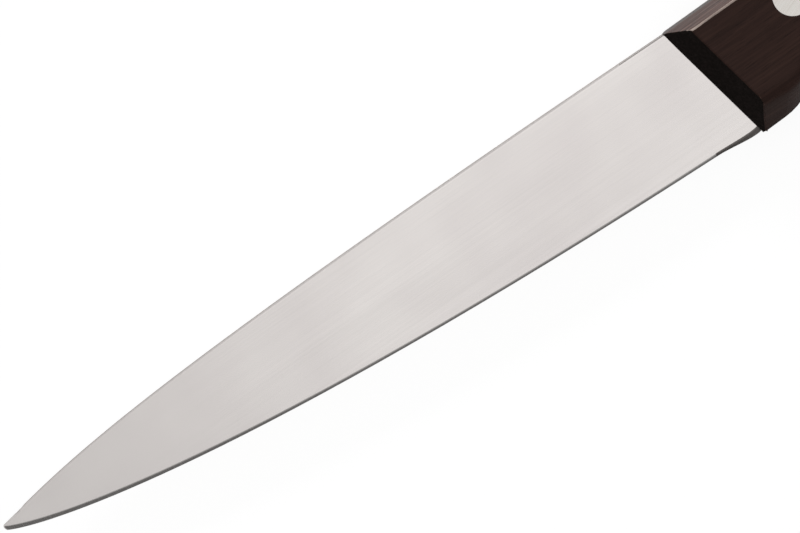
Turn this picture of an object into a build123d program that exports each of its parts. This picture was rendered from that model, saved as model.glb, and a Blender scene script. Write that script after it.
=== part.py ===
from build123d import *
import math
import os

# Fillet knife lying on its side. The tip points to -X, the butt to +X, the spine to +Y,
# and the thickness lies along Z. While it is built, X = 0 and Y = 0 is the corner where
# the spine meets the handle, and Z = 0 is the middle of the steel.
# Lengths are millimetres and angles degrees.

# Blade
blade_length = 160.0  # tip to handle, halfway down the handle's front
sheet_thickness = 2.0  # of the tang, and of the spine at the handle
tip_drop = 5.92  # how far the spine has come down at the tip
tip_height = 1.11  # of the tip's rounded end
tip_rounding = 0.35  # pull of the rounding's curve at both of its ends
spine_pull_shares = ((0.798, 0.052), (0.894, -0.117))  # of tip_reach and blade_height
edge_pull_shares = ((0.9942, -0.311), (0.811, -0.861))  # of tip_reach and blade_height

# Grinding of each side
grind_share = 0.031  # thickness lost, as a share of the way from the spine to the edge
taper_share = 0.0016  # thickness lost, as a share of the way from the handle to the tip
edge_angle = 25.0  # of the sharpened edge
tip_edge_angle = 31.0  # the edge is sharpened more steeply where it curves up to the tip

# Unsharpened heel, between the sharpened edge and the handle
heel_length = 4.5  # the sharpening ends this far in front of the spine's corner
heel_drop = 0.7  # how far the heel's end lies below the sharpened edge
heel_lift = 0.36  # how far it lies above the underside of the handle's front
heel_sag = 0.5  # pull of the heel's curve below its end
heel_angle = 12.0
heel_pull_shares = (0.3, 0.8)  # of the heel's length, for the curve's two pulls

# Handle
handle_length = 122.0
front_depth = 26.46  # the front stands down below the fingers like a guard
front_slant = 11.5  # how far the front leans back from square
front_rise = 0.15  # how far the front stands proud of the spine
handle_thickness = 16.0
band_thickness = 3.6  # the middle band of the rim is square to the sides
front_bevel = 4.4  # length of the bevelled front along X

# How far the flat side's outline lies inside the rim, round the handle
top_draw = 1.3
butt_draw = 3.2
beak_draw = 3.8
neck_draw = 3.6
belly_draw = 3.9
groove_draw = 3.7
guard_draw = 5.4
front_draw = 6.6  # at the low end of the front
guard_slide = 4.0  # the flat side's guard also lies further back than the rim's

# Stations round the rim, clockwise from the top of the front
rim_shares = (  # of handle_length and front_depth
    (0.450, 0.028),
    (0.930, -0.150),
    (1.000, -0.520),
    (0.977, -0.940),
    (0.940, -1.060),
    (0.895, -0.965),
    (0.765, -0.790),
    (0.540, -0.885),
    (0.250, -0.680),
    (0.088, -0.993),
)
rim_angles = (0, -16, -92, -115, -180, -212, -180, -180, -180, -178)  # the outline's heading
front_top_angle = 1
rim_draws = (
    top_draw,
    top_draw,
    butt_draw,
    butt_draw,
    beak_draw,
    beak_draw,
    neck_draw,
    belly_draw,
    groove_draw,
    guard_draw,
)
pull_share = 0.38  # of the distance between two stations, for the curve that joins them

# Rivets, each a stud pressed into a sleeve
rivet_names = ("front", "middle", "rear")
rivet_shares = ((0.1995, -0.254), (0.494, -0.345), (0.790, -0.375))  # as the stations
head_diameter = 8.0
head_thickness = 2.2
sleeve_diameter = 5.0
shank_diameter = 3.6
shank_end_gap = 0.8  # between the stud's end and the floor of the sleeve
sleeve_end_gap = 0.4  # between the sleeve's mouth and the stud's head
head_clearance = 0.03  # round a head in its seat, on the radius
sleeve_clearance = 0.08  # round a sleeve in wood and steel, on the radius
press_clearance = 0.01  # between stud and sleeve, on the radius

overrun = 3.0  # every cut runs past the piece by this

steel_half = sheet_thickness / 2
handle_half = handle_thickness / 2
band_half = band_thickness / 2
front_run = front_depth * math.tan(math.radians(front_slant))
tip_reach = blade_length - front_run / 2
heel_depth = front_depth - heel_lift
blade_height = heel_depth - heel_drop  # spine to cutting edge, where the sharpening ends


def on_front(depth):
    """Point on the leaning front of the handle, at a depth below the spine."""
    return Vector(depth * math.tan(math.radians(front_slant)), -depth)


def on_handle(share):
    """Point of the handle from its shares of the length and the front's depth."""
    return Vector(share[0] * handle_length, share[1] * front_depth)


def heading(angle):
    return Vector(1, 0).rotate(Axis.Z, angle)


def blade_pulls(shares):
    return [Vector(-back * tip_reach, up * blade_height) for back, up in shares]


def spine_curve():
    return Bezier((0, 0), *blade_pulls(spine_pull_shares), (-tip_reach, -tip_drop))


def edge_curve():
    start = (-tip_reach, -tip_drop - tip_height)
    return Bezier(start, *blade_pulls(edge_pull_shares), (-heel_length, -blade_height))


def tip_curve(spine, edge):
    """Rounding that runs on from the spine and turns back into the edge."""
    pull_out = spine @ 1 + (spine % 1) * tip_rounding
    pull_in = edge @ 0 - (edge % 0) * tip_rounding
    return Bezier(spine @ 1, pull_out, pull_in, edge @ 0)


def blade_blank():
    """The blade's outline at full thickness, one overrun too deep along the edge."""
    spine = spine_curve()
    tip = tip_curve(spine, edge_curve())
    deep = on_front(heel_depth + overrun)
    rest = Polyline(tip @ 1, (-tip_reach, deep.Y), deep, (0, 0))
    return extrude(make_face([spine, tip, rest]), steel_half, both=True)


def edge_waste_face(level):
    """All that lies outside the bevelled edge, at a level above the middle of the steel."""
    tip_rise, edge_rise, heel_rise = (
        Vector(0, level / math.tan(math.radians(angle)))
        for angle in (tip_edge_angle, edge_angle, heel_angle)
    )
    edge = edge_curve()
    edge_pulls = blade_pulls(edge_pull_shares)
    heel_start = edge @ 1
    heel_end = on_front(heel_depth)
    heel_pulls = [heel_start.X + (heel_end.X - heel_start.X) * share for share in heel_pull_shares]
    heel_points = (
        heel_start + edge_rise,
        Vector(heel_pulls[0], heel_start.Y) + edge_rise,
        Vector(heel_pulls[1], heel_end.Y - heel_sag) + heel_rise,
        heel_end + heel_rise,
    )
    edge_points = (
        edge @ 0 + tip_rise,
        edge_pulls[0] + tip_rise,
        edge_pulls[1] + edge_rise,
        heel_points[0],
    )
    ahead = edge @ 0 - (edge % 0) * overrun + tip_rise
    behind = heel_points[-1] + Vector(overrun, 0)
    low = -heel_depth - 2 * steel_half / math.tan(math.radians(heel_angle)) - overrun
    outline = (
        Line(ahead, edge_points[0]),
        Bezier(*edge_points),
        Bezier(*heel_points),
        Polyline(behind, (behind.X, low), (ahead.X, low), ahead),
        Line(heel_points[-1], behind),
    )
    return make_face(outline).translate((0, 0, level))


def edge_waste():
    """What the sharpening takes off the upper side."""
    return loft([edge_waste_face(-steel_half), edge_waste_face(2 * steel_half)], ruled=True)


def grind_waste():
    """What the flat grind takes off the upper side."""
    grind = Plane(
        origin=(0, 0, steel_half),
        x_dir=(1, 0, taper_share),
        z_dir=(-taper_share, -grind_share, 1),
    )
    length = tip_reach + front_run + 4 * overrun
    width = heel_depth + 4 * overrun
    middle = Pos((front_run - tip_reach) / 2, -heel_depth / 2, steel_half)
    return grind * middle * Box(length, width, 2 * steel_half)


def handle_outline(drawn):
    """Outline of the handle: its rim where drawn is 0, its flat side where drawn is 1."""
    places = [on_front(top_draw * drawn - front_rise)]
    for share, angle, draw in zip(rim_shares, rim_angles, rim_draws):
        places.append(on_handle(share) + heading(angle - 90) * draw * drawn)
    places[-1] += Vector(guard_slide * drawn, 0)
    headings = [heading(angle) for angle in (front_top_angle, *rim_angles)]
    curves = []
    for here, there, leaving, arriving in zip(places, places[1:], headings, headings[1:]):
        pull = (there - here).length * pull_share
        curves.append(Bezier(here, here + leaving * pull, there - arriving * pull, there))
    low = on_front(front_depth - front_draw * drawn)
    curves.append(Polyline(places[-1], low, places[0]))
    return make_face(curves)


def rivet_places():
    return [Pos(*on_handle(share)) for share in rivet_shares]


def drilled(piece, diameter, clearance):
    """The piece with a hole right through at each rivet."""
    radius = diameter / 2 + clearance
    for place in rivet_places():
        piece -= place * Cylinder(radius, handle_thickness + 2 * overrun)
    return piece


def make_blade():
    """Blade and full tang in one piece of steel."""
    upper_waste = edge_waste() + grind_waste()
    blade = blade_blank() - upper_waste - mirror(upper_waste, Plane.XY)
    tang = extrude(handle_outline(0), steel_half, both=True)
    return drilled(blade + tang, sleeve_diameter, sleeve_clearance)


def front_bevel_waste():
    """What bevels the upper scale's front, sheared to follow the front's lean."""
    run_per_rise = front_bevel / (handle_half - steel_half)
    profile = Polyline(
        (-run_per_rise * overrun, steel_half - overrun),
        (front_bevel + run_per_rise * overrun, handle_half + overrun),
        (-run_per_rise * overrun, handle_half + overrun),
        close=True,
    )
    face = make_face(Plane.XZ * profile)
    lean = on_front(front_depth).normalized()
    length = front_depth + 4 * overrun
    return extrude(face.translate(lean * -2 * overrun), length, dir=lean)


def make_upper_scale():
    """Wooden slab with a square band round its rim, sloping in to its flat side."""
    rim = handle_outline(0)
    band = extrude(rim.translate((0, 0, steel_half)), band_half - steel_half)
    side = handle_outline(1).translate((0, 0, handle_half))
    crown = loft([rim.translate((0, 0, band_half)), side], ruled=True)
    scale = drilled(band + crown - front_bevel_waste(), sleeve_diameter, sleeve_clearance)
    seat_floor = handle_half - head_thickness
    seat = Pos(0, 0, seat_floor) * Cylinder(
        head_diameter / 2 + head_clearance,
        head_thickness + overrun,
        align=(Align.CENTER, Align.CENTER, Align.MIN),
    )
    for place in rivet_places():
        scale -= place * seat
    return scale


def rivet_head(side):
    """Flat head, flush with the scale on one side."""
    head = Cylinder(head_diameter / 2, head_thickness)
    return Pos(0, 0, side * (handle_half - head_thickness / 2)) * head


def rod(diameter, bottom, top):
    """Round rod along Z between two levels."""
    return Pos(0, 0, (bottom + top) / 2) * Cylinder(diameter / 2, top - bottom)


def make_stud():
    head_floor = handle_half - head_thickness
    return rivet_head(1) + rod(shank_diameter, shank_end_gap - head_floor, handle_half)


def make_sleeve():
    head_floor = handle_half - head_thickness
    bore_diameter = shank_diameter + 2 * press_clearance
    tube = rod(sleeve_diameter, -handle_half, head_floor - sleeve_end_gap)
    return rivet_head(-1) + tube - rod(bore_diameter, -head_floor, handle_half)


upper_scale = make_upper_scale()
pieces = {
    "blade": make_blade(),
    "upper_scale": upper_scale,
    "lower_scale": mirror(upper_scale, Plane.XY),
}
for name, place in zip(rivet_names, rivet_places()):
    pieces[f"{name}_rivet_stud"] = place * make_stud()
    pieces[f"{name}_rivet_sleeve"] = place * make_sleeve()

# The finished knife stands with the middle of its box over the origin, on Z = 0.
box = Compound(children=[Part(p.wrapped) for p in pieces.values()]).bounding_box()
to_origin = Pos(-box.center().X, -box.center().Y, -box.min.Z)

os.makedirs("parts", exist_ok=True)
for name, piece in pieces.items():
    export_step(to_origin * piece, f"parts/{name}.step")
    print(name, "volume", round(piece.volume, 1), "valid", piece.is_valid)
print("box", box.size)
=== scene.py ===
import math

import bmesh
import bpy
from mathutils import Matrix, Vector


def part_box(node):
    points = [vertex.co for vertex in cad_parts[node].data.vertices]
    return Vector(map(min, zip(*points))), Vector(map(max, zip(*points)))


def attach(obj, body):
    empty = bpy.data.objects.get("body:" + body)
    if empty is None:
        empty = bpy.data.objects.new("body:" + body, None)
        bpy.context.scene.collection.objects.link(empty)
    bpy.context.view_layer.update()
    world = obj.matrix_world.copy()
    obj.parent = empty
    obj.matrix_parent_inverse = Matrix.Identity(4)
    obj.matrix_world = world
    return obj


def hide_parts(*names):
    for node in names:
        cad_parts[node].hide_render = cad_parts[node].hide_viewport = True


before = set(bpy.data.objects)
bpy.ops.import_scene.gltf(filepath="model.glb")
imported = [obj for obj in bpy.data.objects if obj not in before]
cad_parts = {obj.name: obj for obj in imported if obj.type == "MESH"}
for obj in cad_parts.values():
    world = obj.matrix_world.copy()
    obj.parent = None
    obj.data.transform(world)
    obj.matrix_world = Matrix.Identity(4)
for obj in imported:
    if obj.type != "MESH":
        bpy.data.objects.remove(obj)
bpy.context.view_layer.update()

# The knife lies on its side, tip to -X, spine to +Y. Sizes are millimetres, and places are
# measured from the corner where the spine meets the handle, halfway through the steel.
mm = 0.001
handle = {
    "length": 122,
    "frontDepth": 26.46,
    "frontSlant": 11.5,  # degrees that the front leans back
    "frontRise": 0.15,  # how far it stands proud of the spine
    "frontTopAngle": 1,
    "pullShare": 0.38,  # how far each curve pulls towards its heading
    "guardSlide": 4,  # the flat side's guard lies this much further back
    "frontDraw": 6.6,
    "stations": [  # shares of length and depth, heading, and how far the flat side draws in
        (0.450, 0.028, 0, 1.3),  # top of the back
        (0.930, -0.150, -16, 1.3),
        (1.000, -0.520, -92, 3.2),  # butt
        (0.977, -0.940, -115, 3.2),
        (0.940, -1.060, -180, 3.8),  # beak
        (0.895, -0.965, -212, 3.8),
        (0.765, -0.790, -180, 3.6),  # neck
        (0.540, -0.885, -180, 3.9),  # belly
        (0.250, -0.680, -180, 3.7),  # finger groove
        (0.088, -0.993, -178, 5.4),  # guard
    ],
    "curveSteps": 16,  # from one station to the next
    "steelHalf": 1,
    "bandHalf": 1.8,  # top of the square band round the rim
    "half": 8,
    "frontBevel": 4.4,
    "ridgeRounding": 1.8,  # of the flat side's lower ridge, which the fingers hold
    "backShare": 0.22,  # of that rounding, along the back
    "frontShare": 0.18,  # round the bevelled front
    "spare": 1,  # drawn too deep, and cut off after the rounding
    "frontFaces": -0.6,  # faces are told apart by their normals: at most this far along for the front
    "frontRises": (0.4, 0.75),  # and between these two up
    "cutRises": (0.3, 0.8),  # with its rounding
    "flatRises": 0.995,
    "ridgeRises": 0.45,
    "backTurns": (-50, 170),  # degrees round the handle of the palm-rubbed back, which is painted paler as if lit from the spine's side
    "ridgeTurns": 45,
}


def onFront(depth):  # a point of the handle's leaning front, at a depth below the spine
    return Vector((depth * math.tan(math.radians(handle["frontSlant"])), -depth))


beakDepth = max(-share[1] for share in handle["stations"]) * handle["frontDepth"]
scaleLow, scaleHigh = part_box("upper_scale")
scaleCorner = Vector((scaleLow.x, scaleLow.y, scaleHigh.z))
corner = scaleCorner - Vector((onFront(-handle["frontRise"]).x, -beakDepth, handle["half"])) * mm


def at(place, level=0):  # from a flat place and a level in millimetres to the frame
    return corner + Vector((place[0], place[1], level)) * mm


def onHandle(shareX, shareY):
    return Vector((shareX * handle["length"], shareY * handle["frontDepth"]))


def heading(angle):
    return Vector((math.cos(math.radians(angle)), math.sin(math.radians(angle))))


# Camera, where the photograph was taken from
view = {
    "lens": 300,
    "aim": (-66.561, -8.115),
    "distance": 1277.6,
    "leanToSpine": 8.945,  # degrees off the vertical
    "leanToButt": 1.094,
    "roll": -34.31,
}


def addCamera():
    leanX = math.sin(math.radians(view["leanToButt"]))
    leanY = math.sin(math.radians(view["leanToSpine"]))
    back = Vector((leanX, leanY, math.sqrt(1 - leanX**2 - leanY**2)))
    bpy.ops.object.camera_add(location=at(view["aim"]) + back * view["distance"] * mm)
    camera = bpy.context.object
    roll = math.radians(view["roll"])
    right = (-back).cross(Vector((-math.sin(roll), math.cos(roll), 0))).normalized()
    camera.rotation_euler = Matrix((right, back.cross(right), back)).transposed().to_euler()
    camera.data.lens = view["lens"]
    bpy.context.scene.camera = camera


addCamera()
bpy.context.scene.view_settings.view_transform = "Standard"
print("camera placed")


def toLinear(hexColour):  # sRGB hex to linear
    channels = [int(hexColour[i:i + 2], 16) / 255 for i in (1, 3, 5)]
    return [c / 12.92 if c <= 0.04045 else ((c + 0.055) / 1.055) ** 2.4 for c in channels] + [1]


def addNode(tree, kind, sockets=(), **settings):  # sockets: name or number to value or link
    made = tree.nodes.new("ShaderNode" + kind)
    for name, value in settings.items():
        setattr(made, name, value)
    for socket, value in dict(sockets).items():
        if isinstance(value, bpy.types.NodeSocket):
            tree.links.new(value, made.inputs[socket])
        else:
            made.inputs[socket].default_value = value
    return made


def newMaterial(name):
    material = bpy.data.materials.new(name)
    material.use_nodes = True
    material.node_tree.nodes.clear()
    return material


# Studio: a pale floor that shows white, and soft light from above and from the spine's side
studio = {
    "floorSize": 16,  # metres
    "floorColour": "#e6e5e3",
    "floorGlow": 0.905,  # the share of white that the camera and reflections see
    "floorShadow": 0.16,  # and the share that real light and shadow give
    "skyBright": 0.655,
    "skyDim": 0.14,
    "skySide": (0.30, 0.59, 0.75),  # the bright side of the room
    "lamps": {  # place and aim in metres, size in metres, brightness where 1 is white
        "topSoftbox": ((0.24, -0.10, 1.62), (0.24, -0.1, 0.0), (0.90, 0.80), 0.36),
        "spineSoftbox": ((0.35, 1.45, 0.80), (0.02, 0.0, 0.0), (0.8, 0.24), 11.0),
    },
}


def addFloor():
    bpy.ops.mesh.primitive_plane_add(size=studio["floorSize"])
    floor = bpy.context.object
    floor.name = "floor"
    material = newMaterial("whiteSweepPaper")
    tree = material.node_tree
    path = addNode(tree, "LightPath")
    seen = addNode(
        tree, "Math",
        {0: path.outputs["Is Camera Ray"], 1: path.outputs["Is Glossy Ray"]},
        operation="MAXIMUM",
    )
    seen = addNode(
        tree, "Math", {0: seen.outputs[0], 1: path.outputs["Is Transmission Ray"]}, operation="MAXIMUM",
    )
    paper = addNode(tree, "BsdfDiffuse", {"Color": toLinear(studio["floorColour"])})
    shaded = addNode(tree, "BsdfDiffuse", {"Color": [studio["floorShadow"]] * 3 + [1]})
    glow = addNode(tree, "Emission", {"Color": (1, 1, 1, 1), "Strength": studio["floorGlow"]})
    shown = addNode(tree, "AddShader", {0: shaded.outputs[0], 1: glow.outputs[0]})
    mixed = addNode(tree, "MixShader", {0: seen.outputs[0], 1: paper.outputs[0], 2: shown.outputs[0]})
    addNode(tree, "OutputMaterial", {"Surface": mixed.outputs[0]})
    floor.data.materials.append(material)


def lightSky():
    world = bpy.data.worlds.new("studioRoom")
    bpy.context.scene.world = world
    world.use_nodes = True
    tree = world.node_tree
    tree.nodes.clear()
    path = addNode(tree, "LightPath")
    direction = addNode(tree, "TexCoord")
    side = addNode(
        tree, "VectorMath",
        {0: direction.outputs["Generated"], 1: Vector(studio["skySide"]).normalized()},
        operation="DOT_PRODUCT",
    )
    level = addNode(
        tree, "MapRange",
        {"Value": side.outputs["Value"], 1: -0.15, 2: 0.75, 3: studio["skyDim"], 4: studio["skyBright"]},
        interpolation_type="SMOOTHSTEP",
    )
    shown = addNode(tree, "Mix", {0: path.outputs["Is Camera Ray"], 2: level.outputs[0], 3: 1.0})
    sky = addNode(tree, "Background", {"Color": (1, 1, 1, 1), "Strength": shown.outputs[0]})
    addNode(tree, "OutputWorld", {"Surface": sky.outputs[0]})


def addLamps():
    for name, (place, aim, (width, depth), brightness) in studio["lamps"].items():
        place, aim = Vector(place), Vector(aim)
        bpy.ops.object.light_add(type="AREA", location=place)
        lamp = bpy.context.object
        lamp.name = name
        lamp.data.shape = "RECTANGLE"
        lamp.data.size, lamp.data.size_y = width, depth
        lamp.data.energy = brightness * math.pi * width * depth
        lamp.rotation_euler = (aim - place).to_track_quat("-Z", "Y").to_euler()
        lamp.visible_camera = False


addFloor()
lightSky()
addLamps()
print("studio lit")


# Ways of working that the pieces share
hair = 0.004  # millimetres within which two places are the same


def straight(start, end):  # a straight run, as a curve
    return (start, start.lerp(end, 1 / 3), start.lerp(end, 2 / 3), end)


def drawOutline(name, runs, level, steps):  # a closed outline of curved runs, as a wire
    bpy.ops.object.select_all(action="DESELECT")
    bpy.ops.curve.primitive_bezier_curve_add(radius=mm)
    outline = bpy.context.object
    outline.name = name
    outline.data.dimensions = "3D"
    spline = outline.data.splines[0]
    spline.bezier_points.add(len(runs) - 2)
    spline.resolution_u = steps
    spline.use_cyclic_u = True
    for point, before, run in zip(spline.bezier_points, runs[-1:] + runs[:-1], runs):
        point.handle_left_type = point.handle_right_type = "FREE"
        point.co = at(run[0], level)
        point.handle_left = at(before[2], level)
        point.handle_right = at(run[1], level)
    bpy.ops.object.convert(target="MESH")
    return outline


def edit(piece):  # the piece alone, in edit mode, with nothing selected
    bpy.ops.object.select_all(action="DESELECT")
    piece.select_set(True)
    bpy.context.view_layer.objects.active = piece
    bpy.ops.object.mode_set(mode="EDIT")
    bpy.ops.mesh.select_all(action="DESELECT")


def pick(piece, kind, chosen):  # select the verts, edges or faces that chosen() says
    bpy.ops.mesh.select_all(action="DESELECT")
    bpy.ops.mesh.select_mode(type={"verts": "VERT", "edges": "EDGE", "faces": "FACE"}[kind])
    mesh = bmesh.from_edit_mesh(piece.data)
    mesh.normal_update()
    for element in getattr(mesh, kind):
        element.select_set(chosen(element))
    bmesh.update_edit_mesh(piece.data)


def atLevel(element, level):  # does all of it lie at this level?
    return all(abs(vert.co.z - at((0, 0), level).z) < hair * mm for vert in element.verts)


def done():
    bpy.ops.mesh.select_all(action="SELECT")
    bpy.ops.mesh.normals_make_consistent(inside=False)
    bpy.ops.object.mode_set(mode="OBJECT")


def joined(piece, *others):  # one object of several
    bpy.ops.object.select_all(action="DESELECT")
    for each in (piece, *others):
        each.select_set(True)
    bpy.context.view_layer.objects.active = piece
    bpy.ops.object.join()
    return piece


def applied(piece, kind, **settings):  # a modifier, added and applied
    bpy.ops.object.select_all(action="DESELECT")
    piece.select_set(True)
    bpy.context.view_layer.objects.active = piece
    modifier = piece.modifiers.new(kind.lower(), kind)
    for name, value in settings.items():
        setattr(modifier, name, value)
    bpy.ops.object.modifier_apply(modifier=modifier.name)


def cutWith(piece, tool, operation="DIFFERENCE"):
    applied(piece, "BOOLEAN", object=tool, operation=operation, solver="EXACT")
    bpy.data.objects.remove(tool)


def copied(piece, name, move=(0, 0, 0)):  # with its own mesh, moved in millimetres
    copy = piece.copy()
    copy.data = piece.data.copy()
    copy.name = name
    copy.data.transform(Matrix.Translation(Vector(move) * mm))
    bpy.context.collection.objects.link(copy)
    return copy


def smooth(piece, angle):  # curves shade round, flats stay flat
    bpy.ops.object.select_all(action="DESELECT")
    piece.select_set(True)
    bpy.context.view_layer.objects.active = piece
    bpy.ops.object.shade_smooth_by_angle(angle=math.radians(angle))
    applied(piece, "WEIGHTED_NORMAL", keep_sharp=True, weight=80)


def paint(piece, materials, chooseSlot=lambda face: 0):
    piece.data.materials.clear()
    for material in materials:
        piece.data.materials.append(material)
    for face in piece.data.polygons:
        face.material_index = chooseSlot(face)


def standsFor(piece, node):
    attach(piece, "root")
    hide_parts(node)


def handleRuns(drawn):  # the handle's outline: its rim where drawn is 0, its flat side where 1
    places = [onFront(handle["stations"][0][3] * drawn - handle["frontRise"])]
    headings = [heading(handle["frontTopAngle"])]
    for shareX, shareY, angle, draw in handle["stations"]:
        places.append(onHandle(shareX, shareY) + heading(angle - 90) * draw * drawn)
        headings.append(heading(angle))
    places[-1] += Vector((handle["guardSlide"] * drawn, 0))
    runs = []
    for here, there, leaving, arriving in zip(places, places[1:], headings, headings[1:]):
        pull = (there - here).length * handle["pullShare"]
        runs.append((here, here + leaving * pull, there - arriving * pull, there))
    low = onFront(handle["frontDepth"] - handle["frontDraw"] * drawn)
    return runs + [straight(places[-1], low), straight(low, places[0])]


def prism(name, runs, low, high, steps):  # an outline drawn and raised to a solid
    piece = drawOutline(name, runs, low, steps)
    edit(piece)
    bpy.ops.mesh.select_all(action="SELECT")
    bpy.ops.mesh.extrude_edges_move(TRANSFORM_OT_translate={"value": (0, 0, (high - low) * mm)})
    for level in (low, high):
        pick(piece, "edges", lambda edge: atLevel(edge, level))
        bpy.ops.mesh.edge_face_add()
    done()
    return piece


def bridged(name, lowRuns, low, highRuns, high, steps):  # two outlines joined to a solid
    piece = joined(
        drawOutline(name, lowRuns, low, steps),
        drawOutline(name + "Top", highRuns, high, steps),
    )
    edit(piece)
    bpy.ops.mesh.select_all(action="SELECT")
    bpy.ops.mesh.bridge_edge_loops()
    for level in (low, high):
        pick(piece, "edges", lambda edge: atLevel(edge, level))
        bpy.ops.mesh.edge_face_add()
    done()
    return piece


# Blade: a flat-ground and satin-polished steel sheet, whose full tang runs between the scales
blade = {
    "length": 160,
    "tipDrop": 5.92,
    "tipHeight": 1.11,
    "tipRounding": 0.35,  # pull of its curve
    "spinePulls": ((0.798, 0.052), (0.894, -0.117)),  # shares of the reach and the height
    "edgePulls": ((0.9942, -0.311), (0.811, -0.861)),
    "grindShare": 0.031,  # thickness lost from the spine to the edge
    "taperShare": 0.0016,  # and from the handle to the tip
    "edgeAngle": 25,
    "tipEdgeAngle": 31,  # the edge is steeper where it curves up to the tip
    "heelAngle": 12,
    "heelLength": 4.5,  # unsharpened
    "heelDrop": 0.7,
    "heelLift": 0.36,
    "heelSag": 0.5,
    "heelPulls": (0.3, 0.8),  # shares of the heel's length
    "rootOverlap": 1.5,  # how far the blade is drawn into the tang before they are joined
    "overrun": 3,
    "curveSteps": 36,
    "easing": 0.12,  # of the spine and the tang's rim
    "easedFromTip": 3,  # the tip itself is left crisp
    "shoulderEasing": 0.2,  # where the sharpened edge begins
    "seam": 0.012,  # slivers finer than this, where cuts meet, are closed up
    "seamSides": 6,
    "wall": 0.1,  # faces are told apart by how far their normals rise: at most this for a wall
    "ground": 0.98,  # and at least this for the ground side
    "sharpened": (0.8, 0.99),
    "polished": 0.999,
    "polishedEasing": 0.75,
    "spineReach": 0.5,  # millimetres below the tip's top that still count as the spine
    "cornerReach": 0.1,  # and past the handle's corner
}
rivets = {
    "shares": {"front": (0.1995, -0.254), "middle": (0.494, -0.345), "rear": (0.790, -0.375)},
    "headDiameter": 8,
    "headThickness": 2.2,
    "sleeveDiameter": 5,
    "shankDiameter": 3.6,
    "shankEndGap": 0.8,
    "sleeveEndGap": 0.4,
    "headClearance": 0.03,
    "sleeveClearance": 0.08,
    "pressClearance": 0.01,
    "easing": 0.12,
    "corners": 64,
}
frontRun = onFront(handle["frontDepth"]).x
tipReach = blade["length"] - frontRun / 2
heelDepth = handle["frontDepth"] - blade["heelLift"]
bladeHeight = heelDepth - blade["heelDrop"]


def bladePulls(shares):
    return [Vector((-back * tipReach, up * bladeHeight)) for back, up in shares]


def bladeRuns():  # spine and tip, and then past the edge, which is cut afterwards
    spineEnd = Vector((-tipReach, -blade["tipDrop"]))
    edgeStart = spineEnd - Vector((0, blade["tipHeight"]))
    spinePulls, edgePulls = bladePulls(blade["spinePulls"]), bladePulls(blade["edgePulls"])
    tipOut = spineEnd + (spineEnd - spinePulls[1]).normalized() * blade["tipRounding"]
    tipIn = edgeStart - (edgePulls[0] - edgeStart).normalized() * blade["tipRounding"]
    deep = onFront(heelDepth + blade["overrun"])
    root = blade["rootOverlap"]
    inside = [deep + Vector((root, 0)), Vector((root, -root))]
    return [
        (Vector((0, 0)), *spinePulls, spineEnd),
        (spineEnd, tipOut, tipIn, edgeStart),
        straight(edgeStart, Vector((-tipReach, deep.y))),
        straight(Vector((-tipReach, deep.y)), inside[0]),
        straight(inside[0], inside[1]),
        straight(inside[1], Vector((0, 0))),
    ]


def edgeWasteRuns(level):  # what lies outside the bevelled edge, at a level
    tipRise, edgeRise, heelRise = (
        Vector((0, level / math.tan(math.radians(blade[angle]))))
        for angle in ("tipEdgeAngle", "edgeAngle", "heelAngle")
    )
    start = Vector((-tipReach, -blade["tipDrop"] - blade["tipHeight"]))
    pulls = bladePulls(blade["edgePulls"])
    heelStart = Vector((-blade["heelLength"], -bladeHeight))
    heelEnd = onFront(heelDepth)
    firstX, secondX = (heelStart.lerp(heelEnd, share).x for share in blade["heelPulls"])
    ahead = start - (pulls[0] - start).normalized() * blade["overrun"] + tipRise
    behind = heelEnd + Vector((blade["overrun"], 0)) + heelRise
    low = -heelDepth - 4 * blade["overrun"]
    corners = [behind, Vector((behind.x, low)), Vector((ahead.x, low)), ahead]
    return [
        straight(ahead, start + tipRise),
        (start + tipRise, pulls[0] + tipRise, pulls[1] + edgeRise, heelStart + edgeRise),
        (
            heelStart + edgeRise,
            Vector((firstX, heelStart.y)) + edgeRise,
            Vector((secondX, heelEnd.y - blade["heelSag"])) + heelRise,
            heelEnd + heelRise,
        ),
        straight(heelEnd + heelRise, behind),
        *(straight(here, there) for here, there in zip(corners, corners[1:])),
    ]


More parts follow.
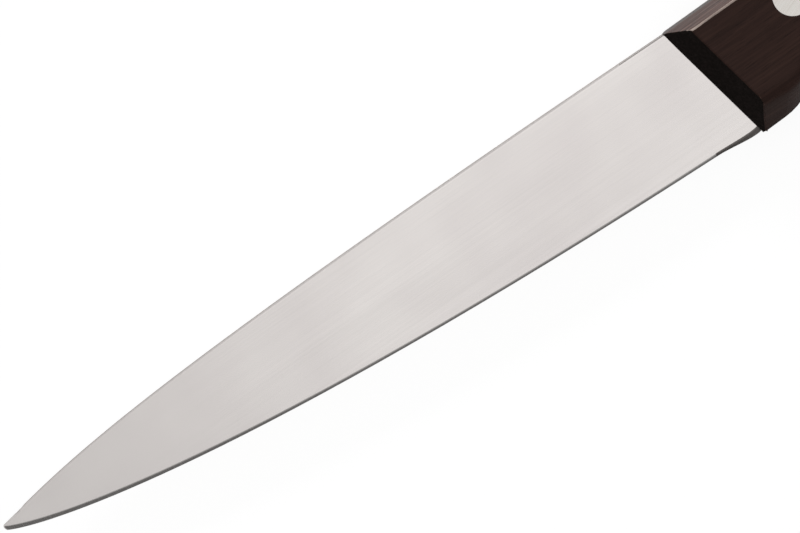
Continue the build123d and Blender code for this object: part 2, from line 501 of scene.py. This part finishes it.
def makeBlade():
    half = handle["steelHalf"]
    steel = prism("bladeAndTang", bladeRuns(), 0, half, blade["curveSteps"])
    edit(steel)  # grind the upper side flat, thinner towards the edge and the tip
    bpy.ops.mesh.select_all(action="SELECT")
    bpy.ops.mesh.bisect(
        plane_co=at((0, 0), half), plane_no=(-blade["taperShare"], -blade["grindShare"], 1),
        use_fill=True, clear_outer=True, threshold=1e-8,
    )
    done()
    low, high = -0.4 * half, 1.4 * half
    waste = bridged("edgeWaste", edgeWasteRuns(low), low, edgeWasteRuns(high), high, blade["curveSteps"])
    cutWith(steel, waste)
    edit(steel)  # open the middle, ease the spine, and mirror to the lower side
    pick(steel, "faces", lambda face: atLevel(face, 0))
    bpy.ops.mesh.delete(type="FACE")
    pick(steel, "edges", isSpineEdge)
    bpy.ops.mesh.bevel(offset=blade["easing"] * mm, segments=2, affect="EDGES", clamp_overlap=False)
    pick(steel, "edges", isShoulder)
    bpy.ops.mesh.bevel(
        offset=blade["shoulderEasing"] * mm, segments=3, affect="EDGES", clamp_overlap=False,
    )
    bpy.ops.object.mode_set(mode="OBJECT")
    middle = bpy.data.objects.new("middle", None)
    middle.location = corner
    applied(
        steel, "MIRROR", use_axis=(False, False, True), mirror_object=middle, use_mirror_merge=True,
        merge_threshold=hair * mm,
    )
    bpy.data.objects.remove(middle)
    edit(steel)
    done()
    tang = prism("tang", handleRuns(0), -half, half, handle["curveSteps"])
    edit(tang)
    pick(tang, "edges", lambda edge: atLevel(edge, half) or atLevel(edge, -half))
    bpy.ops.mesh.bevel(offset=blade["easing"] * mm, segments=2, affect="EDGES", clamp_overlap=False)
    done()
    cutWith(steel, tang, "UNION")
    for shareX, shareY in rivets["shares"].values():
        cutWith(steel, roundBar(onHandle(shareX, shareY), sleeveHole(), -2 * half, 2 * half))
    edit(steel)  # close up what the cuts left between them
    bpy.ops.mesh.select_all(action="SELECT")
    bpy.ops.mesh.remove_doubles(threshold=blade["seam"] * mm)
    bpy.ops.mesh.dissolve_degenerate(threshold=hair * mm)
    bpy.ops.mesh.select_all(action="SELECT")
    bpy.ops.mesh.fill_holes(sides=blade["seamSides"])
    done()
    return steel


def isSpineEdge(edge):  # between the spine's wall and the ground side
    if len(edge.link_faces) < 2:
        return False
    levels = sorted(abs(face.normal.z) for face in edge.link_faces)
    fromTip = min(vert.co.x for vert in edge.verts) - at((-tipReach, 0)).x
    spineLow = at((0, -blade["tipDrop"] - blade["spineReach"])).y
    alongSpine = min(vert.co.y for vert in edge.verts) > spineLow
    ahead = max(vert.co.x for vert in edge.verts) < at((blade["cornerReach"], 0)).x
    inReach = fromTip > blade["easedFromTip"] * mm and alongSpine and ahead
    return inReach and levels[0] < blade["wall"] and levels[1] > blade["ground"]


def isShoulder(edge):  # between the ground side and the sharpened edge
    if len(edge.link_faces) < 2:
        return False
    levels = sorted(face.normal.z for face in edge.link_faces)
    low, high = blade["sharpened"]
    return low < levels[0] < high < levels[1]


def sleeveHole():
    return rivets["sleeveDiameter"] + 2 * rivets["sleeveClearance"]


def roundBar(place, diameter, low, high):
    bpy.ops.object.select_all(action="DESELECT")
    bpy.ops.mesh.primitive_cylinder_add(
        vertices=rivets["corners"], radius=diameter / 2 * mm, depth=(high - low) * mm,
        location=at(place, (low + high) / 2),
    )
    bpy.ops.object.transform_apply(location=True)
    return bpy.context.object


def steelSlot(face):  # 0 polished side, 1 sharpened edge, 2 spine's back, 3 heel, 4 tang's rim
    place = (face.center - corner) / mm
    if abs(face.normal.z) > blade["polished"]:
        return 0
    if face.normal.y < 0 and -blade["heelLength"] < place.x < frontRun:
        return 3
    if place.x > 0:
        return 4
    if face.normal.y < 0:
        return 1
    return 0 if abs(face.normal.z) > blade["polishedEasing"] else 2


# Scales: dark wood with a square band round the rim, a crown that slopes in to the flat side,
# and a front bevelled down to the steel
def ridgeShare(edge):  # how much an edge of the scale is rounded, 1 being the most
    outward = sum((face.normal for face in edge.link_faces), Vector())
    if all(isFront(face) for face in edge.link_faces):
        return 0
    if atLevel(edge, handle["steelHalf"] - handle["spare"]):
        return 0
    if any(isFront(face) for face in edge.link_faces):
        return handle["frontShare"]
    if atLevel(edge, handle["half"]):
        lower = min(max(0.5 - outward.y / Vector((outward.x, outward.y)).length, 0), 1)
        return handle["backShare"] + (1 - handle["backShare"]) * lower
    return 0


def isFront(face):  # the bevelled front, which leans back and down
    low, high = handle["frontRises"]
    return face.normal.x < handle["frontFaces"] and low < face.normal.z < high


def makeUpperScale():
    low, band, high = handle["steelHalf"], handle["bandHalf"], handle["half"]
    scale = bridged("upperScale", handleRuns(0), band, handleRuns(1), high, handle["curveSteps"])
    edit(scale)  # the band, drawn down from the crown
    pick(scale, "faces", lambda face: atLevel(face, band))
    down = band - low + handle["spare"]
    bpy.ops.mesh.extrude_region_move(TRANSFORM_OT_translate={"value": (0, 0, -down * mm)})
    bpy.ops.mesh.select_all(action="SELECT")  # the front, cut on a plane that leans with it
    along = onFront(handle["frontDepth"]).to_3d()
    up = Vector((handle["frontBevel"], 0, high - low))
    bpy.ops.mesh.bisect(
        plane_co=at((0, 0), low), plane_no=along.cross(up).normalized(), use_fill=True,
        clear_outer=True, threshold=1e-8,
    )
    mesh = bmesh.from_edit_mesh(scale.data)
    weights = mesh.edges.layers.float.new("bevel_weight_edge")
    mesh.normal_update()
    for edge in mesh.edges:
        edge[weights] = ridgeShare(edge)
    bmesh.update_edit_mesh(scale.data)
    done()
    applied(
        scale, "BEVEL", width=handle["ridgeRounding"] * mm, segments=4, limit_method="WEIGHT",
        use_clamp_overlap=False, miter_outer="MITER_SHARP",
    )
    edit(scale)  # cut off the spare depth
    bpy.ops.mesh.select_all(action="SELECT")
    bpy.ops.mesh.bisect(
        plane_co=at((0, 0), low), plane_no=(0, 0, 1), use_fill=True, clear_inner=True, threshold=1e-8,
    )
    done()
    for shareX, shareY in rivets["shares"].values():
        place = onHandle(shareX, shareY)
        floor = high - rivets["headThickness"]
        seat = rivets["headDiameter"] + 2 * rivets["headClearance"]
        cutWith(scale, roundBar(place, sleeveHole(), 0, high + 1))
        cutWith(scale, roundBar(place, seat, floor, high + 1))
    return scale


def woodSlot(face):  # 0 sanded side and belly, 1 handled back, painted paler as light, 2 its ridge, painted as a highlight, 3 cut front, painted darker as shade
    low, high = handle["cutRises"]
    if face.normal.x < handle["frontFaces"] and low < abs(face.normal.z) < high:
        return 3
    around = math.degrees(math.atan2(face.normal.y, face.normal.x))
    first, last = handle["backTurns"]
    if abs(face.normal.z) > handle["flatRises"] or not first < around < last:
        return 0
    return 2 if abs(face.normal.z) > handle["ridgeRises"] and around > handle["ridgeTurns"] else 1


def mirroredScale(upper):
    lower = copied(upper, "lowerScale")
    edit(lower)
    bpy.ops.mesh.select_all(action="SELECT")
    bpy.ops.transform.mirror(
        orient_type="GLOBAL", constraint_axis=(False, False, True), center_override=corner,
    )
    done()
    return lower


# Rivets: a stud pressed into a sleeve, both sanded flush with the wood
def makeStud(place):
    radius = rivets["headDiameter"] / 2
    floor = handle["half"] - rivets["headThickness"]
    stud = roundBar(place, 2 * radius, floor, handle["half"])
    edit(stud)
    pick(stud, "edges", lambda edge: atLevel(edge, handle["half"]))
    bpy.ops.mesh.bevel(offset=rivets["easing"] * mm, segments=3, affect="EDGES")
    pick(stud, "faces", lambda face: atLevel(face, floor))
    shank = rivets["shankDiameter"] / 2
    bpy.ops.mesh.inset(thickness=(radius - shank) * mm)
    down = floor - (rivets["shankEndGap"] - floor)
    bpy.ops.mesh.extrude_region_move(TRANSFORM_OT_translate={"value": (0, 0, -down * mm)})
    done()
    return stud


def makeSleeve(place):
    radius = rivets["headDiameter"] / 2
    floor = handle["half"] - rivets["headThickness"]
    sleeve = roundBar(place, 2 * radius, -handle["half"], -floor)
    edit(sleeve)
    pick(sleeve, "edges", lambda edge: atLevel(edge, -handle["half"]))
    bpy.ops.mesh.bevel(offset=rivets["easing"] * mm, segments=3, affect="EDGES")
    pick(sleeve, "faces", lambda face: atLevel(face, -floor))
    tube = rivets["sleeveDiameter"] / 2
    bore = rivets["shankDiameter"] / 2 + rivets["pressClearance"]
    bpy.ops.mesh.inset(thickness=(radius - tube) * mm)
    up = floor - rivets["sleeveEndGap"] + floor
    bpy.ops.mesh.extrude_region_move(TRANSFORM_OT_translate={"value": (0, 0, up * mm)})
    bpy.ops.mesh.inset(thickness=(tube - bore) * mm)
    bpy.ops.mesh.extrude_region_move(TRANSFORM_OT_translate={"value": (0, 0, -up * mm)})
    done()
    return sleeve


# Metals: one recipe. Fine lines tell how each surface was made, and soft clouds vary its tone.
# Line sizes are the length, width and depth of a line in millimetres.
satinSteel = {  # cold-rolled stainless sheet, ground and belt-polished along the blade until it
    # mirrors the room softly, with hardly a line to see and faint clouds where the belt pressed
    "dark": "#e3dddb",
    "pale": "#eee9e6",
    "lineSize": (40, 0.35, 0.35),  # real lines are ten times finer
    "turn": 0,  # degrees from the blade's length
    "cloudSize": 22,
    "cloudShare": 0.85,
    "roughness": (0.18, 0.24),
    "bump": (0.05, 0.02),  # strength, and height in millimetres
}
wheelGroundEdge = {  # sharpened on a wet wheel: fine lines run across the edge and dull it a
    # little
    "dark": "#dbd5d3",
    "pale": "#ece8e5",
    "lineSize": (0.2, 6, 6),  # twice as coarse as the real lines
    "turn": 0,
    "cloudSize": 9,
    "cloudShare": 0.3,
    "roughness": (0.20, 0.30),
    "bump": (0.1, 0.01),
}
beltSandedBack = {  # the spine's back, sanded with a coarser belt: grey and dull beside the
    # polished sides
    "dark": "#aaa4a1",
    "pale": "#c8c2bf",
    "lineSize": (9, 9, 0.15),  # lines of a grit 180 belt, along the back
    "turn": 0,
    "cloudSize": 12,
    "cloudShare": 0.3,
    "roughness": (0.38, 0.52),
    "bump": (0.25, 0.02),
}
groundHeel = {  # left unsharpened, and coloured a darker grey than the polished sides
    "dark": "#6d6865",
    "pale": "#8b8582",
    "lineSize": (0.25, 6, 6),
    "turn": 0,
    "cloudSize": 3,
    "cloudShare": 0.5,
    "roughness": (0.35, 0.50),
    "bump": (0.2, 0.015),
}
darkTangRim = {  # the tang's rim, sanded flush with the wood and coloured nearly as dark as the wood beside it
    # so it is nearly as dark as the wood beside it
    "dark": "#3f3936",
    "pale": "#5c5552",
    "lineSize": (9, 9, 0.15),
    "turn": 0,
    "cloudSize": 7,
    "cloudShare": 0.5,
    "roughness": (0.42, 0.58),
    "bump": (0.3, 0.02),
}
sandedNickelSilver = {  # sanded flush with the wood on a belt: pale and a little warm, with
    # straight scratches one way that blur what it mirrors
    "dark": "#cfc9c2",
    "pale": "#fbf8f3",
    "lineSize": (9, 0.26, 0.8),
    "turn": 20,
    "cloudSize": 5,
    "cloudShare": 0.15,
    "roughness": (0.26, 0.42),
    "bump": (0.3, 0.015),
}


def brushedMetal(name, finish):
    material = newMaterial(name)
    tree = material.node_tree
    place = addNode(tree, "TexCoord").outputs["Object"]
    lineWay = addNode(
        tree, "Mapping",
        {
            "Vector": place, "Rotation": (0, 0, math.radians(finish["turn"])),
            "Scale": Vector(finish["lineSize"]) * mm,
        },
        vector_type="TEXTURE",
    )
    lines = addNode(
        tree, "TexNoise", {"Vector": lineWay.outputs[0], "Scale": 1, "Detail": 3, "Roughness": 0.65},
    )
    clouds = addNode(
        tree, "TexNoise", {"Vector": place, "Scale": 1 / (finish["cloudSize"] * mm), "Detail": 2},
    )
    tone = addNode(
        tree, "Mix", {0: finish["cloudShare"], 2: lines.outputs["Fac"], 3: clouds.outputs["Fac"]},
    )
    spread = addNode(tree, "MapRange", {"Value": tone.outputs[0], 1: 0.3, 2: 0.7, 3: 0, 4: 1})
    colour = addNode(
        tree, "Mix", {0: spread.outputs[0], 6: toLinear(finish["dark"]), 7: toLinear(finish["pale"])},
        data_type="RGBA",
    )
    fine, dull = finish["roughness"]
    rough = addNode(tree, "MapRange", {"Value": lines.outputs["Fac"], 1: 0.3, 2: 0.7, 3: fine, 4: dull})
    strength, height = finish["bump"]
    bump = addNode(
        tree, "Bump", {"Height": lines.outputs["Fac"], "Strength": strength, "Distance": height * mm},
    )
    shader = addNode(
        tree, "BsdfPrincipled",
        {
            "Base Color": colour.outputs[2], "Metallic": 1, "Roughness": rough.outputs[0],
            "Normal": bump.outputs[0],
        },
    )
    addNode(tree, "OutputMaterial", {"Surface": shader.outputs[0]})
    return material


# Rosewood, oiled: near black, with warm brown streaks along the grain, darker growth bands, and
# open pores that catch no light. How it was finished differs from side to side, and the back, its
# ridge and the front also carry painted light and shade.
grain = {  # length, width and depth in millimetres, noise detail and distortion
    "fibres": ((16, 0.55, 0.55), 5, 0.3),
    "bands": ((70, 3.2, 6), 2, 0.6),
    "pores": ((3.5, 0.22, 0.22), 1, 0),
}
poreColour = "#0e0a09"
sandedSide = {  # fine sanded and dry to the touch: brown-black, matt and even
    "streaks": ("#31221e", "#372621", "#3f2c26"),
    "bandLevels": (0.85, 1.10),
    "poreShare": 0.35,
    "roughness": (0.62, 0.52),
    "specular": 0.10,
    "bump": 0.25,
}
polishedRidgePaintedHighlight = {  # the back's ridge, rubbed shiny by the palm, and painted pale as a highlight of the light from the spine's side
    "streaks": ("#8a776e", "#ad9a90", "#cbbab0"),
    "bandLevels": (0.85, 1.15),
    "poreShare": 0.5,
    "roughness": (0.36, 0.28),
    "specular": 0.50,
    "bump": 0.20,
}
polishedBackPaintedLight = {  # rubbed by the palm until it shines, and painted paler, with pale streaks, for the light from the spine's side that falls on it
    "streaks": ("#36241f", "#523831", "#775b52"),
    "bandLevels": (0.80, 1.20),
    "poreShare": 0.7,
    "roughness": (0.42, 0.32),
    "specular": 0.16,
    "bump": 0.30,
}
cutFrontPaintedShade = {  # cut across the grain: the fibre ends drink the oil and stay matt and dark, and it is painted nearly black as shade of a front that faces away from the light
    "streaks": ("#191513", "#1e1917", "#282120"),
    "bandLevels": (0.9, 1.1),
    "poreShare": 0.5,
    "roughness": (0.92, 0.80),
    "specular": 0.05,
    "bump": 0.40,
}


def rosewood(name, finish):
    material = newMaterial(name)
    tree = material.node_tree
    place = addNode(tree, "TexCoord").outputs["Object"]
    pattern = {}
    for part, (size, detail, distortion) in grain.items():
        way = addNode(
            tree, "Mapping", {"Vector": place, "Scale": Vector(size) * mm}, vector_type="TEXTURE",
        )
        noise = addNode(
            tree, "TexNoise",
            {
                "Vector": way.outputs[0], "Scale": 1, "Detail": detail, "Roughness": 0.6,
                "Distortion": distortion,
            },
        )
        pattern[part] = noise.outputs["Fac"]
    streaked = addNode(tree, "ValToRGB", {"Fac": pattern["fibres"]})
    ramp = streaked.color_ramp
    dark, middle, light = (toLinear(colour) for colour in finish["streaks"])
    ramp.elements[0].position, ramp.elements[0].color = 0.30, dark
    ramp.elements[1].position, ramp.elements[1].color = 0.72, light
    ramp.elements.new(0.5).color = middle
    low, high = finish["bandLevels"]
    level = addNode(tree, "MapRange", {"Value": pattern["bands"], 1: 0.35, 2: 0.65, 3: low, 4: high})
    banded = addNode(
        tree, "Mix", {0: 1.0, 6: streaked.outputs["Color"], 7: level.outputs[0]},
        data_type="RGBA", blend_type="MULTIPLY",
    )
    pores = addNode(tree, "MapRange", {"Value": pattern["pores"], 1: 0.60, 2: 0.70, 3: 0, 4: 1})
    shown = addNode(tree, "Math", {0: pores.outputs[0], 1: finish["poreShare"]}, operation="MULTIPLY")
    colour = addNode(
        tree, "Mix", {0: shown.outputs[0], 6: banded.outputs[2], 7: toLinear(poreColour)},
        data_type="RGBA",
    )
    open_, closed = finish["roughness"]
    rough = addNode(tree, "MapRange", {"Value": pattern["fibres"], 1: 0.3, 2: 0.7, 3: open_, 4: closed})
    sunk = addNode(tree, "Math", {0: pores.outputs[0], 1: -0.8}, operation="MULTIPLY")
    height = addNode(tree, "Math", {0: sunk.outputs[0], 1: pattern["fibres"]}, operation="ADD")
    bump = addNode(
        tree, "Bump", {"Height": height.outputs[0], "Strength": finish["bump"], "Distance": 0.05 * mm},
    )
    shader = addNode(
        tree, "BsdfPrincipled",
        {
            "Base Color": colour.outputs[2], "Roughness": rough.outputs[0], "Normal": bump.outputs[0],
            "Specular IOR Level": finish["specular"],
        },
    )
    addNode(tree, "OutputMaterial", {"Surface": shader.outputs[0]})
    return material


steels = [
    brushedMetal("satinStainlessSteel", satinSteel),
    brushedMetal("wheelGroundSteel", wheelGroundEdge),
    brushedMetal("beltSandedSteel", beltSandedBack),
    brushedMetal("groundHeelSteel", groundHeel),
    brushedMetal("darkRimSteel", darkTangRim),
]
# the back is painted paler as light, its ridge with a painted highlight, and the front darker as shade
woods = [
    rosewood("sandedRosewood", sandedSide),
    rosewood("polishedRosewoodPaintedLight", polishedBackPaintedLight),
    rosewood("polishedRosewoodPaintedHighlight", polishedRidgePaintedHighlight),
    rosewood("rosewoodEndGrainPaintedShade", cutFrontPaintedShade),
]
nickelSilver = brushedMetal("sandedNickelSilver", sandedNickelSilver)
print("materials mixed")

bladePiece = makeBlade()
paint(bladePiece, steels, steelSlot)
smooth(bladePiece, 8)
standsFor(bladePiece, "blade")
print("blade and tang ground")

upperPiece = makeUpperScale()
for piece, node in ((upperPiece, "upper_scale"), (mirroredScale(upperPiece), "lower_scale")):
    paint(piece, woods, woodSlot)
    smooth(piece, 20)
    standsFor(piece, node)
print("scales shaped")

firstPlace = onHandle(*rivets["shares"]["front"])
for half, made in (("stud", makeStud(firstPlace)), ("sleeve", makeSleeve(firstPlace))):
    paint(made, [nickelSilver])
    smooth(made, 20)
    for name, share in rivets["shares"].items():
        move = onHandle(*share) - firstPlace
        piece = copied(made, name + "Rivet" + half.capitalize(), (move.x, move.y, 0))
        standsFor(piece, name + "_rivet_" + half)
    bpy.data.objects.remove(made)
print("rivets pressed in")
